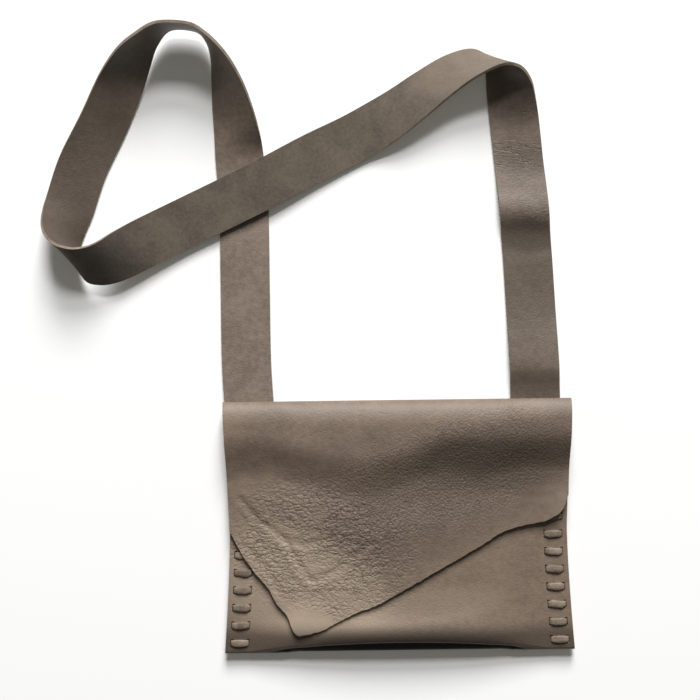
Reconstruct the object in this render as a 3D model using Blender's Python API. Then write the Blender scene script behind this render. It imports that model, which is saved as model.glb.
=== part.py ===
# Leather crossbody bag, lying on its back with the shoulder strap laid out above it.
# Metres. X runs across the bag, Y towards the strap, Z up from the table.
# The origin is on the back face, where the bag rests.
import math

import bmesh
import bpy
from mathutils import Vector

# Leather and the play between layers
HIDE = 0.0020  # thickness of the bag's leather
STRAP_HIDE = 0.0020  # thickness of the strap
THONG_THICK = 0.0013  # thickness of the lace
THONG_WIDTH = 0.0050
GAP = 0.0003  # air between layers that touch

# The closed bag
FOLD_Y = 0.0905  # outside of the top fold
BASE_Y = -0.0880  # outside of the bottom
WAIST_HALF = 0.1193  # half the bag's width where it is narrowest, at y = 0
TOP_SPREAD = 0.04  # how much wider the halves get towards the fold, per metre
FLARE = 0.0047  # how much further the bottom corners stand out
MOUTH_Y = 0.0635  # upper edge of the front panel
ROLL_TOP = 0.0190  # height of the middle of the hide on top of the fold
POCKET_BULGE = 0.0045  # how far the front panel rises in the middle
FLAP_RISE = 0.0034  # how far the flap rises in the middle
FLAP_TROUGH = 0.45  # share of that rise which is left under the slope from the top fold
TROUGH_FROM, TROUGH_TO = -0.0100, 0.0400  # y over which the rise falls off to that share
FLAP_ROWS_BEND = 0.0360  # above here the flap's rows are level, below they follow the raw edge
TIP = (-0.5900, -0.0760)  # x in halves of the bag's width, y in metres, as in the tables below
TIP_LIFT = 0.0016  # how far the flap's tip stands off
TIP_REACH = 0.0300
CORNER = (0.9900, 0.0080)
CORNER_LIFT = 0.0026  # how far the flap's right corner curls up
CORNER_REACH = 0.0280

# The bottom fold, tucked in between the laced corners. Radii are those of the hide's middle.
LIP_SET_BACK = 0.0078  # how far the front lip stands back from the base in the middle
LIP_RADIUS = 0.0014
PLAIN_RADIUS = 0.0013  # the least where the bottom is a plain fold
REAR_RADIUS = 0.0014  # of the low fold behind the tuck
TUCK_DEPTH = 0.0110
# Places along the bottom, in halves of the way between the lacings
LIP_REACH = 0.9900  # where the lip has run out to the base
TUCK_FULL = 0.2925  # up to here it is tucked to the full depth
TUCK_SHALLOW = 0.5460  # from here on the tuck is only a groove
TUCK_END = 0.6400  # and here it has run out

# The back panel lies on the table in the middle and rises over the strap ends
RISE_CLEAR = 0.0050  # from the top of the rise to the strap
RISE_RUN = 0.0110  # width of the rise

# Side lacing
STITCHES = 12
FIRST_STITCH_Y = -0.0803
STITCH_PITCH = 0.01245
BAR = 0.0115  # between the middles of a stitch's two slits
LACE_INSET = 0.0100  # from the bag's side to the middle of a stitch
SLIT_WIDE = 0.0026
SLIT_PLAY = 0.0003  # beyond each edge of the lace, along the slit
LACE_TAIL = 0.0060

# Shoulder strap
STRAP_WIDTH = 0.0350
STRAP_INSET = 0.0183  # from the bag's side to the middle of the strap's laced end
STRAP_END_Y = -0.0850
RINGS_PER_STEP = 2
TABLE_PLAY = 0.0002  # the strap's edge is nowhere lower than this
ROUTE_ROOT = 0.1036  # how far from the bag's middle the strap's route starts and ends

# The flap's raw edge: places it passes, from the left side to the right, as x in halves of the
# bag's width and y in metres
FLAP_EDGE = (
    (-1.0000, 0.0000),
    (-0.9514, -0.0118),
    (-0.8994, -0.0218),
    (-0.8407, -0.0311),
    (-0.7594, -0.0411),
    (-0.7209, -0.0510),
    (-0.6454, -0.0603),
    (-0.6127, -0.0716),
    (-0.5851, -0.0745),
    (-0.5264, -0.0732),
    (-0.4376, -0.0705),
    (-0.3537, -0.0646),
    (-0.2607, -0.0588),
    (-0.1215, -0.0526),
    (0.1769, -0.0326),
    (0.4686, -0.0133),
    (0.6203, -0.0026),
    (0.7184, 0.0007),
    (0.8701, 0.0039),
    (0.9438, 0.0087),
    (0.9799, 0.0136),
    (1.0000, 0.0246),
)

# Where the flap slopes down from the top fold: x in halves of the bag's width, y of the slope's
# foot, y of its head
FLAP_SLOPE = (
    (-1.0000, 0.0330, 0.0680),
    (-0.7376, 0.0360, 0.0670),
    (-0.4107, 0.0240, 0.0560),
    (-0.1676, 0.0200, 0.0530),
    (0.0251, 0.0270, 0.0570),
    (0.2515, 0.0380, 0.0680),
    (0.4946, 0.0330, 0.0650),
    (0.7293, 0.0400, 0.0670),
    (1.0000, 0.0380, 0.0680),
)

# The strap's way from the bag's left side to its right: x, y above the top fold, how far its
# lower edge is off the table, and the direction across it from edge to edge
STRAP_ROUTE = (
    (-0.1050, -0.0020, 0.0016, (-1.00, 0.00, 0.00)),
    (-0.1066, 0.0300, 0.0005, (-1.00, 0.01, 0.00)),
    (-0.1068, 0.0800, 0.0001, (-1.00, 0.01, 0.00)),
    (-0.1070, 0.1380, 0.0001, (-0.99, -0.11, 0.00)),
    (-0.1094, 0.1710, 0.0001, (-0.96, -0.25, -0.04)),
    (-0.1115, 0.1920, 0.0001, (-0.88, -0.25, -0.40)),
    (-0.1155, 0.2147, 0.0001, (-0.71, -0.21, -0.67)),
    (-0.1198, 0.2332, 0.0001, (-0.47, -0.13, -0.87)),
    (-0.1243, 0.2462, 0.0001, (-0.23, -0.06, -0.97)),
    (-0.1305, 0.2566, 0.0001, (-0.04, 0.01, -1.00)),
    (-0.1400, 0.2638, 0.0001, (0.07, 0.06, -0.99)),
    (-0.1600, 0.2648, 0.0001, (0.17, 0.07, -0.98)),
    (-0.1731, 0.2552, 0.0001, (0.32, -0.03, -0.95)),
    (-0.1826, 0.2428, 0.0001, (0.56, -0.17, -0.81)),
    (-0.1930, 0.2240, 0.0001, (0.77, -0.27, -0.57)),
    (-0.2055, 0.1975, 0.0001, (0.90, -0.33, -0.34)),
    (-0.2205, 0.1685, 0.0001, (0.91, -0.34, -0.27)),
    (-0.2295, 0.1420, 0.0001, (0.86, -0.33, -0.39)),
    (-0.2340, 0.1265, 0.0001, (0.74, -0.30, -0.60)),
    (-0.2350, 0.1150, 0.0008, (0.55, -0.34, -0.76)),
    (-0.2312, 0.1050, 0.0030, (0.38, -0.45, -0.80)),
    (-0.2228, 0.0980, 0.0060, (0.24, -0.62, -0.75)),
    (-0.2130, 0.0968, 0.0075, (0.24, -0.70, -0.67)),
    (-0.2030, 0.0992, 0.0075, (0.28, -0.77, -0.57)),
    (-0.1905, 0.1060, 0.0060, (0.37, -0.86, -0.35)),
    (-0.1740, 0.1150, 0.0045, (0.43, -0.89, -0.17)),
    (-0.1480, 0.1277, 0.0034, (0.45, -0.89, -0.06)),
    (-0.0971, 0.1518, 0.0044, (0.46, -0.89, 0.00)),
    (-0.0586, 0.1718, 0.0028, (0.44, -0.90, 0.00)),
    (-0.0260, 0.1875, 0.0003, (0.42, -0.90, 0.05)),
    (0.0010, 0.2030, 0.0001, (0.37, -0.88, 0.28)),
    (0.0215, 0.2172, 0.0001, (0.31, -0.85, 0.43)),
    (0.0400, 0.2295, 0.0001, (0.24, -0.79, 0.57)),
    (0.0560, 0.2370, 0.0001, (0.20, -0.66, 0.72)),
    (0.0695, 0.2398, 0.0001, (0.40, -0.42, 0.81)),
    (0.0775, 0.2362, 0.0001, (0.62, -0.27, 0.73)),
    (0.0820, 0.2270, 0.0001, (0.84, -0.19, 0.50)),
    (0.0840, 0.2150, 0.0001, (0.94, -0.10, 0.32)),
    (0.0866, 0.1960, 0.0001, (0.98, -0.03, 0.14)),
    (0.0893, 0.1700, 0.0004, (1.00, -0.02, 0.02)),
    (0.0913, 0.1500, 0.0030, (1.00, -0.02, 0.00)),
    (0.0926, 0.1330, 0.0046, (1.00, -0.02, 0.00)),
    (0.0937, 0.1170, 0.0018, (1.00, -0.02, 0.00)),
    (0.0951, 0.0960, 0.0003, (1.00, -0.02, 0.00)),
    (0.0968, 0.0620, 0.0006, (1.00, -0.01, 0.00)),
    (0.0978, 0.0400, 0.0028, (1.00, 0.00, 0.00)),
    (0.0985, 0.0225, 0.0040, (1.00, 0.00, 0.00)),
    (0.0988, 0.0090, 0.0022, (1.00, 0.00, 0.00)),
    (0.0990, -0.0020, 0.0016, (1.00, 0.00, 0.00)),
)

# Heights of the middles of the layers at the laced sides, from the table up
THONG_LOW = THONG_THICK / 2
STRAP_LOW = THONG_THICK + GAP + STRAP_HIDE / 2
BACK_HIGH = STRAP_LOW + STRAP_HIDE / 2 + GAP + HIDE / 2
FRONT_LOW = BACK_HIGH + HIDE + GAP
THONG_HIGH = FRONT_LOW + HIDE / 2 + GAP + THONG_THICK / 2
FLAP_LOW = THONG_HIGH + THONG_THICK / 2 + GAP + HIDE / 2
BACK_LOW = HIDE / 2
SLIT_LONG = THONG_WIDTH + 2 * SLIT_PLAY

# Insets from the bag's side of the slits' long edges
SLIT_INSETS = (
    LACE_INSET - BAR / 2 - SLIT_WIDE / 2,
    LACE_INSET - BAR / 2 + SLIT_WIDE / 2,
    LACE_INSET + BAR / 2 - SLIT_WIDE / 2,
    LACE_INSET + BAR / 2 + SLIT_WIDE / 2,
)
INNER_HALF = WAIST_HALF - SLIT_INSETS[-1]  # half the way between the lacings
RAISED_HALF = WAIST_HALF - STRAP_INSET - STRAP_WIDTH / 2 - RISE_CLEAR
REST_HALF = RAISED_HALF - RISE_RUN


def smooth(value, start, end):
    t = min(1.0, max(0.0, (value - start) / (end - start)))
    return t * t * (3 - 2 * t)


def mix(a, b, t):
    return a + (b - a) * t


def along(points, x):
    """The height at x of a line through points whose x rises."""
    for (x0, y0), (x1, y1) in zip(points, points[1:]):
        if x <= x1:
            return mix(y0, y1, max(0.0, (x - x0) / (x1 - x0)))
    return points[-1][1]


def side_at(y):
    """Half the bag's width at y."""
    below = max(0.0, -y / -BASE_Y)
    return WAIST_HALF + TOP_SPREAD * max(0.0, y) + FLARE * below**1.5


def stitch_y(i):
    return FIRST_STITCH_Y + i * STITCH_PITCH


def hide_material(name, colour, roughness):
    material = bpy.data.materials.new(name)
    material.use_nodes = True
    shader = material.node_tree.nodes["Principled BSDF"]
    shader.inputs["Base Color"].default_value = (*colour, 1)
    shader.inputs["Roughness"].default_value = roughness
    shader.inputs["Metallic"].default_value = 0
    return material


def add_piece(name, shape, material):
    bmesh.ops.recalc_face_normals(shape, faces=shape.faces)
    mesh = bpy.data.meshes.new(name)
    shape.to_mesh(mesh)
    shape.free()
    mesh.materials.append(material)
    mesh.shade_smooth()
    piece = bpy.data.objects.new(name, mesh)
    bpy.context.scene.collection.objects.link(piece)
    return piece


def give_thickness(piece, thickness):
    solidify = piece.modifiers.new("Hide", "SOLIDIFY")
    solidify.thickness = thickness
    solidify.offset = 0
    solidify.use_even_offset = True


def skin(rows, left_out):
    """A sheet through rows of points, without the cells that left_out names."""
    shape = bmesh.new()
    grid = [[shape.verts.new(point) for point in row] for row in rows]
    for i, (row, after) in enumerate(zip(grid, grid[1:])):
        for j in range(len(row) - 1):
            if not left_out(i, j):
                shape.faces.new((row[j], row[j + 1], after[j + 1], after[j]))
    return shape


# Bag body: front panel, bottom, back panel, top fold and flap in one hide

# Columns between the lacings, as shares of half the way between them
INNER_COLUMNS = (
    -0.926, -0.839, -0.767, -0.713, -0.681, -0.612, -0.509, -0.411, -0.303, -0.141,
    0.029, 0.206, 0.303, 0.411, 0.509, 0.612, 0.681, 0.722, 0.767, 0.836, 0.926,
)  # fmt: skip


def column_places():
    """(inset from the side or None, x at the waist) of each column, from left to right."""
    outer = (0.0,) + SLIT_INSETS
    left = [(inset, inset - WAIST_HALF) for inset in outer]
    middle = [(None, share * INNER_HALF) for share in INNER_COLUMNS]
    right = [(inset, WAIST_HALF - inset) for inset in reversed(outer)]
    return left + middle + right


def column_x(inset, x, y):
    if inset is None:
        return x * side_at(y) / WAIST_HALF
    return math.copysign(side_at(y) - inset, x)


def raised(x):
    """0 where the back panel lies on the table, 1 where the strap ends lie under it."""
    return smooth(abs(x), REST_HALF, RAISED_HALF)


def crown(x):
    """1 in the middle of the pocket, 0 at the lacing."""
    return max(0.0, 1 - (x / INNER_HALF) ** 2)


def back_z(x):
    return mix(BACK_LOW, BACK_HIGH, raised(x))


def front_z(x, y):
    low_at_mouth = mix(1.0, 0.35, smooth(y, 0.0, MOUTH_Y))
    low_at_base = mix(0.75, 1.0, smooth(y, BASE_Y, BASE_Y / 2))
    return FRONT_LOW + POCKET_BULGE * crown(x) * low_at_mouth * low_at_base


def near(x, y, place, reach):
    """1 at the place, falling away to 0 beyond the reach."""
    return 1 - smooth(math.hypot(x - place[0], y - place[1]), 0.0, reach)


def trough(y):
    return mix(1.0, FLAP_TROUGH, smooth(y, TROUGH_FROM, TROUGH_TO))


def flap_z(x, y):
    lying = FLAP_LOW + FLAP_RISE * crown(x) * trough(y)
    lying += TIP_LIFT * near(x, y, (TIP[0] * WAIST_HALF, TIP[1]), TIP_REACH)
    lying += CORNER_LIFT * near(x, y, (CORNER[0] * WAIST_HALF, CORNER[1]), CORNER_REACH)
    foot = along([(place, low) for place, low, high in FLAP_SLOPE], x / WAIST_HALF)
    head = along([(place, high) for place, low, high in FLAP_SLOPE], x / WAIST_HALF)
    return mix(lying, ROLL_TOP, smooth(y, foot, head))


def fold_centre(x):
    """y, z and radius of the top fold's middle surface."""
    radius = (ROLL_TOP - back_z(x)) / 2
    return FOLD_Y - HIDE / 2 - radius, back_z(x) + radius, radius


def arc(y, z, radius, start, end, steps):
    """Points round (y, z); 0 degrees is +Y and 90 degrees is +Z."""
    found = []
    for k in range(steps + 1):
        angle = math.radians(mix(start, end, k / steps))
        found.append((y + radius * math.cos(angle), z + radius * math.sin(angle)))
    return found


def plain_radius(x):
    """Radius of the bottom fold where it isn't tucked."""
    return (front_z(x, BASE_Y) - back_z(x)) / 2


def lip_set_back(x):
    return LIP_SET_BACK * max(0.0, 1 - (x / INNER_HALF / LIP_REACH) ** 2)


def tucked(x):
    """1 where the bottom turns in as a groove, 0 where it is a plain fold."""
    return 1 - smooth(abs(x) / INNER_HALF, TUCK_SHALLOW, TUCK_END)


def front_end_y(x):
    """Where the front panel starts to turn into the bottom, for the hide's middle."""
    radius = mix(plain_radius(x), LIP_RADIUS, tucked(x))
    return BASE_Y + HIDE / 2 + radius + lip_set_back(x)


def plain_fold(x):
    """The bottom where it isn't tucked: a slanted wall between two bends."""
    top, low = front_z(x, BASE_Y), back_z(x)
    height, lean = top - low, lip_set_back(x)
    radius = max(min(height / 2, PLAIN_RADIUS), 0.36 * height)
    rear_y = BASE_Y + HIDE / 2 + radius
    straight = math.hypot(lean, height - 2 * radius)
    slant = math.atan2(lean, 2 * radius - height - 1e-7)
    first_bend, second_bend = slant - math.pi / 2, 3 * math.pi / 2 - slant
    length = radius * (first_bend + second_bend) + straight
    points = []
    for k in range(13):
        gone = length * k / 12
        along_wall = min(straight, max(0.0, gone - radius * first_bend))
        angle = math.pi / 2 + (gone - along_wall) / radius
        share = along_wall / straight if straight > 1e-6 else float(angle > slant)
        points.append((
            mix(rear_y + lean, rear_y, share) + radius * math.cos(angle),
            mix(top - radius, low + radius, share) + radius * math.sin(angle),
        ))
    return points


def bottom_section(x):
    """(y, z) points from the front panel to the back panel round the bottom."""
    top, low = front_z(x, BASE_Y), back_z(x)
    plain = plain_fold(x)
    tuck_radius = (top - low) / 2 - LIP_RADIUS - REAR_RADIUS
    lip_y = BASE_Y + HIDE / 2 + LIP_RADIUS + lip_set_back(x)
    rear_y = BASE_Y + HIDE / 2 + REAR_RADIUS
    tuck_y = lip_y + TUCK_DEPTH * (1 - smooth(abs(x) / INNER_HALF, TUCK_FULL, TUCK_SHALLOW))
    tuck_z = low + 2 * REAR_RADIUS + tuck_radius
    folded = arc(lip_y, top - LIP_RADIUS, LIP_RADIUS, 90, 270, 4)
    folded += arc(tuck_y, tuck_z, tuck_radius, 90, -90, 2)
    folded += arc(rear_y, low + REAR_RADIUS, REAR_RADIUS, 90, 270, 4)
    t = tucked(x)
    return [(mix(a[0], b[0], t), mix(a[1], b[1], t)) for a, b in zip(plain, folded)]


def slit_rows():
    """The y of each slit's two ends, from the base up."""
    rows = []
    for i in range(STITCHES):
        rows += [stitch_y(i) - SLIT_LONG / 2, stitch_y(i) + SLIT_LONG / 2]
    return rows


def body_section(inset, x):
    """(y, z) points from the mouth round the bag to the flap's raw edge."""
    bend_at = BASE_Y / 2
    front_end = front_end_y(x)
    corner_end = BASE_Y + HIDE / 2 + plain_radius(WAIST_HALF)
    points = [(MOUTH_Y, front_z(x, MOUTH_Y))]
    for y in reversed(slit_rows()):
        if y < bend_at:
            y = bend_at + (y - bend_at) * (front_end - bend_at) / (corner_end - bend_at)
        points.append((y, front_z(x, y)))
    points += bottom_section(x)
    points += [(y, back_z(x)) for y in slit_rows()]
    fold_y, fold_z, radius = fold_centre(x)
    points += arc(fold_y, fold_z, radius, -90, 90, 6)
    for k in range(1, 8):
        y = mix(fold_y, FLAP_ROWS_BEND, k / 7)
        points.append((y, flap_z(x, y)))
    raw_edge = along(FLAP_EDGE, x / WAIST_HALF)
    for k in range(1, 9):
        y = mix(FLAP_ROWS_BEND, raw_edge, k / 8)
        points.append((y, flap_z(x, y)))
    return points


def make_body(material):
    columns = column_places()
    sections = [body_section(inset, x) for inset, x in columns]
    rows = []
    for i in range(len(sections[0])):
        row = []
        for (inset, x), section in zip(columns, sections):
            y, z = section[i]
            row.append((column_x(inset, x, y), y, z))
        rows.append(row)
    front_slits = {1 + 2 * k for k in range(STITCHES)}
    first_back_row = 1 + 2 * STITCHES + len(bottom_section(0))
    back_slits = {first_back_row + 2 * k for k in range(STITCHES)}
    slit_columns = {1, 3, len(columns) - 3 - 2, len(columns) - 3}

    def is_slit(i, j):
        return i in front_slits | back_slits and j in slit_columns

    piece = add_piece("bag_body", skin(rows, is_slit), material)
    give_thickness(piece, HIDE)


# Shoulder strap: one band, laced at both ends


def route_point(points, place):
    """A smooth line through the points, at a place counted in points."""
    i = min(int(place), len(points) - 2)
    t = place - i
    before = points[max(0, i - 1)]
    start, end = points[i], points[i + 1]
    after = points[min(len(points) - 1, i + 2)]
    leave, arrive = (end - before) / 2, (after - start) / 2
    return (
        start * (2 * t**3 - 3 * t**2 + 1)
        + leave * (t**3 - 2 * t**2 + t)
        + end * (3 * t**2 - 2 * t**3)
        + arrive * (t**3 - t**2)
    )


def strap_end_x(side, y):
    return side * (side_at(y) - STRAP_INSET)


def strap_rings():
    """(middle, direction across) of each ring of the strap, from its left end to its right."""
    roots = [STRAP_ROUTE[0][0], STRAP_ROUTE[-1][0]]
    drift = [strap_end_x(side, MOUTH_Y) - side * ROUTE_ROOT for side in (-1, 1)]
    middles, across = [], []
    for x, y, lift, direction in STRAP_ROUTE:
        way = Vector(direction).normalized()
        tilt = abs(way.z)
        height = lift + STRAP_WIDTH / 2 * tilt + STRAP_HIDE / 2 * math.sqrt(1 - tilt**2)
        shift = mix(drift[0], drift[1], (x - roots[0]) / (roots[1] - roots[0]))
        middles.append(Vector((x + shift, y + FOLD_Y, height)))
        across.append(way)
    free = []
    steps = RINGS_PER_STEP * (len(middles) - 1)
    for k in range(steps + 1):
        place = k / RINGS_PER_STEP
        middle, way = route_point(middles, place), route_point(across, place).normalized()
        reach = STRAP_WIDTH / 2 * abs(way.z) + STRAP_HIDE / 2 * math.sqrt(1 - min(1, way.z**2))
        middle.z = max(middle.z, reach + TABLE_PLAY)
        free.append((middle, way))

    def laced_end(side):
        ys = [STRAP_END_Y] + slit_rows()
        return [
            (Vector((strap_end_x(side, y), y, STRAP_LOW)), Vector((side, 0, 0))) for y in ys
        ]

    return laced_end(-1) + free + list(reversed(laced_end(1)))


def make_strap(material):
    half = STRAP_WIDTH / 2
    # Both ends have their slits towards the same edge, which is the bag's side.
    offsets = [-half] + [STRAP_INSET - inset for inset in reversed(SLIT_INSETS)] + [half]
    rings = strap_rings()
    rows = [[middle + across * offset for offset in offsets] for middle, across in rings]
    first = {1 + 2 * k for k in range(STITCHES)}
    last = {len(rows) - 2 - row for row in first}

    def is_slit(i, j):
        return i in first | last and j in (1, 3)

    piece = add_piece("shoulder_strap", skin(rows, is_slit), material)
    give_thickness(piece, STRAP_HIDE)


# Side lacing: one flat thong a side, up through the outer slits and down through the inner ones


def lace_path(side):
    """The thong's middle line."""
    soft = THONG_THICK * 0.6  # how far from a corner the thong starts to bend
    points = []
    for i in range(STITCHES):
        y = stitch_y(i)
        outer = side * (side_at(y) - LACE_INSET + BAR / 2)
        inner = side * (side_at(y) - LACE_INSET - BAR / 2)
        if i == 0:
            points.append((outer - side * LACE_TAIL, y, THONG_LOW))
        points += [
            (outer - side * soft, y, THONG_LOW),
            (outer, y, THONG_LOW + soft),
            (outer, y, THONG_HIGH - soft),
            (outer - side * soft, y, THONG_HIGH),
            (inner + side * soft, y, THONG_HIGH),
            (inner, y, THONG_HIGH - soft),
            (inner, y, THONG_LOW + soft),
        ]
        if i < STITCHES - 1:
            points.append((inner + side * soft, y, THONG_LOW))
    points += [(inner - side * soft, y, THONG_LOW), (inner - side * LACE_TAIL, y, THONG_LOW)]
    return [Vector(point) for point in points]


def make_lace(name, side, material):
    path = lace_path(side)
    shape = bmesh.new()
    rings = []
    for k, point in enumerate(path):
        before = path[max(0, k - 1)]
        after = path[min(len(path) - 1, k + 1)]
        into = (point - before) * Vector((1, 0, 1))
        out = (after - point) * Vector((1, 0, 1))
        into = into.normalized() if into.length else out.normalized()
        out = out.normalized() if out.length else into
        way = (into + out).normalized()
        normal = Vector((-way.z, 0, way.x)) * (THONG_THICK / 2 / max(0.5, way.dot(into)))
        half = Vector((0, THONG_WIDTH / 2, 0))
        corners = (half + normal, -half + normal, -half - normal, half - normal)
        rings.append([shape.verts.new(point + corner) for corner in corners])
    for ring, after in zip(rings, rings[1:]):
        for k in range(4):
            shape.faces.new((ring[k], ring[(k + 1) % 4], after[(k + 1) % 4], after[k]))
    shape.faces.new(rings[0])
    shape.faces.new(reversed(rings[-1]))
    add_piece(name, shape, material)


def main():
    for old in list(bpy.data.objects):
        bpy.data.objects.remove(old)
    make_body(hide_material("bag_leather", (0.17, 0.13, 0.10), 0.62))
    make_strap(hide_material("strap_leather", (0.19, 0.15, 0.12), 0.50))
    make_lace("lace_left", -1, hide_material("lace_leather_left", (0.15, 0.11, 0.08), 0.60))
    make_lace("lace_right", 1, hide_material("lace_leather_right", (0.15, 0.11, 0.08), 0.60))


main()
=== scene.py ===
# Leather crossbody bag lying on a white table, seen from straight above.
# Metres, in the CAD's frame: X across the bag, Y towards the strap, Z up from the table.
import math

import bmesh
import bpy
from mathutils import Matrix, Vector, noise


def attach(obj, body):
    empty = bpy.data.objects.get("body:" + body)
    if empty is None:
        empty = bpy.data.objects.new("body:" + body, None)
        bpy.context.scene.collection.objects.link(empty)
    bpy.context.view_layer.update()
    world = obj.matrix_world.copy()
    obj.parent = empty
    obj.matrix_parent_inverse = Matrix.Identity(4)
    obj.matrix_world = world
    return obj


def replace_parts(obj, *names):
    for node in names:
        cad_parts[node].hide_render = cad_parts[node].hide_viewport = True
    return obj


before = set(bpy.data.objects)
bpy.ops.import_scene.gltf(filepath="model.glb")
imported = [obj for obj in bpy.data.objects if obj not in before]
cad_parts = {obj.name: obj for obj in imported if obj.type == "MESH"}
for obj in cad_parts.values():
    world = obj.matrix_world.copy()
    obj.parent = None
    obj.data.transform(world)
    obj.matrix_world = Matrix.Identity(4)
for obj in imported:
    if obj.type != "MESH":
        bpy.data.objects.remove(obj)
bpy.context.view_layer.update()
print("CAD loaded:", ", ".join(sorted(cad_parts)))

hide = 0.0020  # the bag's leather and the strap's are equally thick
gap = 0.0003


def smooth(value, start, end):
    t = min(1.0, max(0.0, (value - start) / (end - start)))
    return t * t * (3 - 2 * t)


def mix(a, b, t):
    return a + (b - a) * t


def along(points, x):
    # value at x of a line through points whose first number rises
    for here, after in zip(points, points[1:]):
        if x <= after[0]:
            t = max(0.0, (x - here[0]) / (after[0] - here[0]))
            return [mix(a, b, t) for a, b in zip(here[1:], after[1:])]
    return list(points[-1][1:])


def near(x, y, place, reach):
    return 1 - smooth(math.hypot(x - place[0], y - place[1]), 0.0, reach)


def ripple(x, y, size, seed=0.0):
    # smooth noise from -1 to 1 whose lumps are about size across
    return noise.noise(Vector((x / size, y / size, seed)))


def srgb(*levels):
    values = [v / 255 for v in levels]
    return [v / 12.92 if v <= 0.04045 else ((v + 0.055) / 1.055) ** 2.4 for v in values]


# Materials

class Wire:
    # one socket, so that shader maths can be written as it is in Python
    def __init__(self, graph, socket):
        self.graph, self.socket = graph, socket

    def maths(self, operation, a, b=0.0):
        return self.graph.node("Math", {"operation": operation}, {0: a, 1: b})

    def __add__(self, other):
        return self.maths("ADD", self, other)

    def __sub__(self, other):
        return self.maths("SUBTRACT", self, other)

    def __rsub__(self, other):
        return self.maths("SUBTRACT", other, self)

    def __mul__(self, other):
        return self.maths("MULTIPLY", self, other)

    def __truediv__(self, other):
        return self.maths("DIVIDE", self, other)

    def absolute(self):
        return self.maths("ABSOLUTE", self)

    __radd__ = __add__
    __rmul__ = __mul__


class Graph:
    def __init__(self, name):
        self.material = bpy.data.materials.new(name)
        self.material.use_nodes = True
        self.nodes = self.material.node_tree.nodes
        self.links = self.material.node_tree.links
        self.shader = self.nodes["Principled BSDF"]

    def put(self, socket, value):
        if isinstance(value, Wire):
            self.links.new(value.socket, socket)
        elif socket.type == "RGBA" and len(value) == 3:
            socket.default_value = (*value, 1)
        else:
            socket.default_value = value

    def node(self, kind, settings=None, sockets=None, out=0):
        made = self.nodes.new("ShaderNode" + kind)
        for key, value in (settings or {}).items():
            setattr(made, key, value)
        for key, value in (sockets or {}).items():
            self.put(made.inputs[key], value)
        return Wire(self, made.outputs[out])

    def coordinates(self, kind="Object"):
        return self.node("TexCoord", out=kind)

    def parts(self, vector):
        made = self.node("SeparateXYZ", {}, {0: vector})
        outputs = made.socket.node.outputs
        return [Wire(self, outputs[k]) for k in range(3)]

    def stretched(self, vector, scale, turn=0.0):
        return self.node("Mapping", {}, {"Vector": vector, "Scale": scale, "Rotation": (0, 0, turn)})

    def clouds(self, vector, scale, detail=3.0, rough=0.5, warp=0.0):
        return self.node("TexNoise", {}, {
            "Vector": vector, "Scale": scale, "Detail": detail, "Roughness": rough, "Distortion": warp,
        })

    def cells(self, vector, scale, feature="DISTANCE_TO_EDGE"):
        return self.node("TexVoronoi", {"feature": feature}, {"Vector": vector, "Scale": scale})

    def between(self, value, low, high, start=0.0, end=1.0):
        return self.node("MapRange", {"interpolation_type": "SMOOTHSTEP"}, {
            "Value": value, "From Min": low, "From Max": high, "To Min": start, "To Max": end,
        })

    def blend(self, factor, a, b):
        # of a Mix node's sockets, 6 and 7 and the output 2 are the ones for colours
        return self.node("Mix", {"data_type": "RGBA"}, {0: factor, 6: a, 7: b}, out=2)

    def oval(self, x, y, middle, reach, turn=0.0):
        # 1 in the middle of an oval patch, 0 outside it
        c, s = math.cos(turn), math.sin(turn)
        dx, dy = x - middle[0], y - middle[1]
        u = (dx * c + dy * s) / reach[0]
        v = (dy * c - dx * s) / reach[1]
        return self.between(u * u + v * v, 0.15, 1.0, 1.0, 0.0)

    def ovals(self, x, y, patches):
        return sum(self.oval(x, y, middle, reach, turn) * amount for middle, reach, turn, amount in patches)

    def finish(self, colour, roughness, height, depth):
        self.put(self.shader.inputs["Base Color"], colour)
        self.put(self.shader.inputs["Roughness"], roughness)
        bump = self.node("Bump", {}, {"Height": height, "Strength": 1.0, "Distance": depth})
        self.put(self.shader.inputs["Normal"], bump)
        return self.material


def warped(graph, vector, scale, amount):
    # pushes a pattern about, so that its lines aren't straight
    push = graph.node("TexNoise", {}, {"Vector": vector, "Scale": scale, "Detail": 2.0}, out="Color")
    push = graph.node("VectorMath", {"operation": "SUBTRACT"}, {0: push, 1: (0.5, 0.5, 0.5)})
    push = graph.node("VectorMath", {"operation": "SCALE"}, {0: push, "Scale": amount})
    return graph.node("VectorMath", {"operation": "ADD"}, {0: vector, 1: push})


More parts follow.
